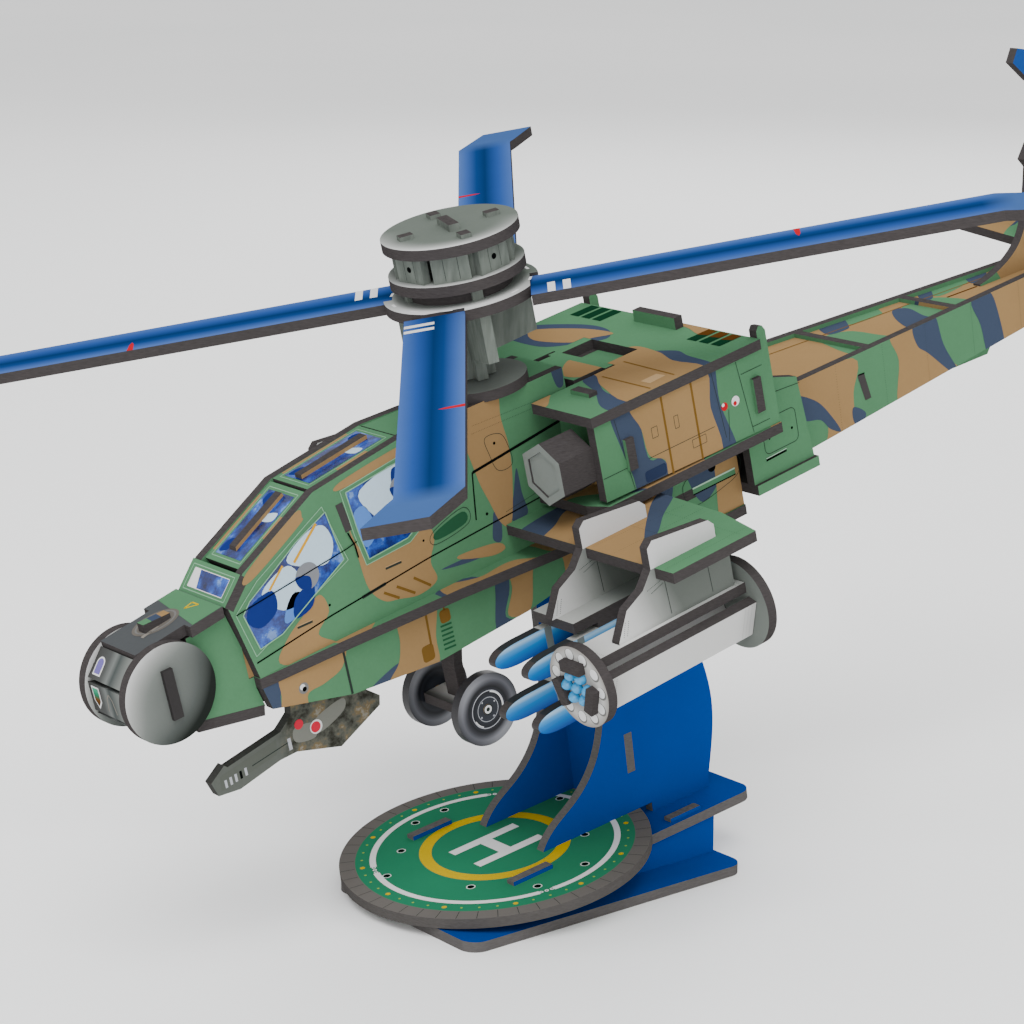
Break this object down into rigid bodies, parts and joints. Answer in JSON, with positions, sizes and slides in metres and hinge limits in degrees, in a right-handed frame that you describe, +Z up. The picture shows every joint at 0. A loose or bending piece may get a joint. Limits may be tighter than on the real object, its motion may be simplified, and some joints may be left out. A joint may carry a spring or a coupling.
{
  "type": "helicopter display model",
  "caption": "Slot-together board model of an attack helicopter on a board display stand with a round helipad; rotors and wheels turn.",
  "frame": {"origin": "middle of the underside of the base plate", "axes": "+X towards the nose, +Y to port, +Z up; the base plate is level and the helicopter is pitched nose-down"},
  "size_m": [0.2591, 0.1612, 0.1601],
  "materials": {
    "camo_board": "printed matte board",
    "stand_board": "printed matte board",
    "helipad_board": "printed matte board",
    "blade_board": "printed matte board",
    "grey_board": "printed matte board",
    "light_board": "printed matte board",
    "missile_board": "printed matte board",
    "wheel_board": "printed matte board",
    "canopy_board": "printed matte board",
    "pin_wood": "plain dowel"
  },
  "bodies": {
    "airframe": {"base_plate": "stand_board", "bay_sides": "camo_board", "belly_plates": "camo_board", "boom_frames": "camo_board", "boom_plates": "camo_board", "boom_side_left": "camo_board", "boom_side_right": "camo_board", "chine_plate": "camo_board", "deck_plate": "stand_board", "engine_deck": "camo_board", "engine_frames": "camo_board", "fin_crosspiece": "stand_board", "front_canopy_panel": "canopy_board", "gun_plate": "grey_board", "helipad_disc": "helipad_board", "hull_frames": "camo_board", "intake_left": "grey_board", "intake_right": "grey_board", "landing_gear": "light_board", "launcher_left": "missile_board", "launcher_right": "missile_board", "lower_side_left": "camo_board", "lower_side_right": "camo_board", "mast_base_disc": "grey_board", "nacelle_floor": "camo_board", "nacelle_side_left": "camo_board", "nacelle_side_right": "camo_board", "nose_cheeks": "camo_board", "nose_keel": "camo_board", "nose_top_plate": "camo_board", "pivot_pins": "pin_wood", "pylons_left": "light_board", "pylons_right": "light_board", "rear_canopy_panel": "canopy_board", "rear_cowls": "camo_board", "rocket_pod_left": "light_board", "rocket_pod_right": "light_board", "spine_plates": "camo_board", "stabiliser": "camo_board", "stand_fin_left": "stand_board", "stand_fin_right": "stand_board", "stand_wedge_left": "stand_board", "stand_wedge_right": "stand_board", "tail_fin": "camo_board", "turret_disc_left": "grey_board", "turret_disc_right": "grey_board", "turret_facets": "grey_board", "turret_ribs": "grey_board", "upper_side_left": "camo_board", "upper_side_right": "camo_board", "windshield_panel": "canopy_board", "wing_left": "camo_board", "wing_right": "camo_board"},
    "main_rotor": {"rotor_mast": "grey_board", "rotor_blades": "blade_board", "hub_discs": "grey_board", "hub_drum": "grey_board"},
    "tail_rotor": {"tail_rotor": "blade_board"},
    "wheel_left": {"wheel_left": "wheel_board"},
    "wheel_right": {"wheel_right": "wheel_board"}
  },
  "joints": [
    {"name": "main_rotor_spin", "type": "hinge", "parent": "airframe", "child": "main_rotor", "pos_m": [0.01332, 0, 0.10448], "axis": [0.23, 0, 0.9732], "continuous": true},
    {"name": "tail_rotor_spin", "type": "hinge", "parent": "airframe", "child": "tail_rotor", "pos_m": [-0.14508, 0.003, 0.14295], "axis": [0, 1, 0], "continuous": true},
    {"name": "wheel_left_spin", "type": "hinge", "parent": "airframe", "child": "wheel_left", "pos_m": [0.01685, 0.0076, 0.03901], "axis": [0, 1, 0], "continuous": true},
    {"name": "wheel_right_spin", "type": "hinge", "parent": "airframe", "child": "wheel_right", "pos_m": [0.01685, -0.0076, 0.03901], "axis": [0, 1, 0], "continuous": true}
  ]
}
